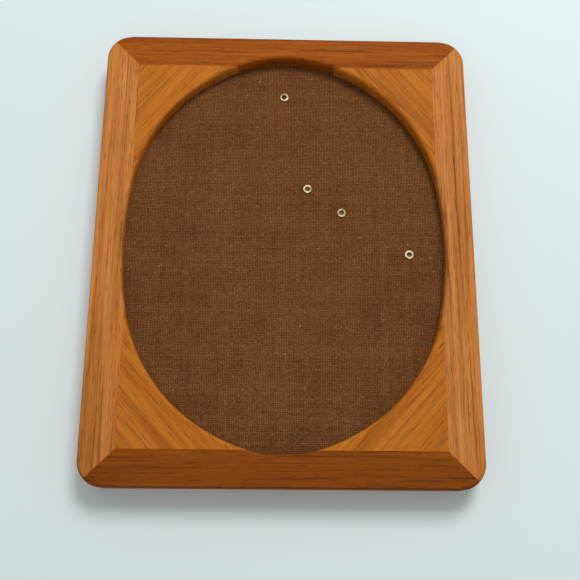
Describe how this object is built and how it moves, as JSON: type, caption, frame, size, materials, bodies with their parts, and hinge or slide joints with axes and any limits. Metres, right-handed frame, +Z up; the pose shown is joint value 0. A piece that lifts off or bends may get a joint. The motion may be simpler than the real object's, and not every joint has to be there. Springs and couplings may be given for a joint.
{
  "type": "oval display frame",
  "caption": "Rectangular mitred wood frame with an oval opening over a recessed woven-fabric panel with brass eyelets, closed at the back by turn buttons, to hang on a wall.",
  "frame": {"origin": "where the wall nail carries the hanger plate: the root of its middle notch, on the plane of the wall", "axes": "+X to the frame's right seen from its front, -Y out of the front, +Y into the wall, +Z up"},
  "size_m": [0.228, 0.019, 0.282],
  "materials": {
    "teak": "oiled, satin",
    "teak_block": "oiled, satin",
    "spline_wood": "raw",
    "board": "raw plywood",
    "woven_fabric": "coarse plain weave, matte",
    "staple_steel": "satin",
    "eyelet_brass": "satin",
    "screw_steel": "satin",
    "hanger_steel": "satin",
    "button_brass": "satin",
    "bumper_rubber": "matte"
  },
  "bodies": {
    "frame": {"top_rail": "teak", "bottom_rail": "teak", "left_stile": "teak", "right_stile": "teak", "corner_block_top_left": "teak_block", "corner_block_top_right": "teak_block", "corner_block_bottom_left": "teak_block", "corner_block_bottom_right": "teak_block", "mitre_spline_top_left": "spline_wood", "mitre_spline_top_right": "spline_wood", "mitre_spline_bottom_left": "spline_wood", "mitre_spline_bottom_right": "spline_wood", "backing_board": "board", "fabric_cover": "woven_fabric", "fabric_staples": "staple_steel", "eyelet_1": "eyelet_brass", "eyelet_2": "eyelet_brass", "eyelet_3": "eyelet_brass", "eyelet_4": "eyelet_brass", "eyelet_washer_1": "eyelet_brass", "eyelet_washer_2": "eyelet_brass", "eyelet_washer_3": "eyelet_brass", "eyelet_washer_4": "eyelet_brass", "button_screws": "screw_steel", "hanger_plate": "hanger_steel", "hanger_nails": "hanger_steel", "bumper_left": "bumper_rubber", "bumper_right": "bumper_rubber"},
    "turn_button_left_upper": {"turn_button_left_upper": "button_brass"},
    "turn_button_left_lower": {"turn_button_left_lower": "button_brass"},
    "turn_button_right_upper": {"turn_button_right_upper": "button_brass"},
    "turn_button_right_lower": {"turn_button_right_lower": "button_brass"}
  },
  "joints": [
    {"name": "turn_left_upper", "type": "hinge", "parent": "frame", "child": "turn_button_left_upper", "pos_m": [-0.109, -0.0023, -0.054], "axis": [0, 1, 0], "continuous": true},
    {"name": "turn_left_lower", "type": "hinge", "parent": "frame", "child": "turn_button_left_lower", "pos_m": [-0.109, -0.0023, -0.214], "axis": [0, 1, 0], "continuous": true},
    {"name": "turn_right_upper", "type": "hinge", "parent": "frame", "child": "turn_button_right_upper", "pos_m": [0.109, -0.0023, -0.054], "axis": [0, 1, 0], "continuous": true},
    {"name": "turn_right_lower", "type": "hinge", "parent": "frame", "child": "turn_button_right_lower", "pos_m": [0.109, -0.0023, -0.214], "axis": [0, 1, 0], "continuous": true}
  ]
}
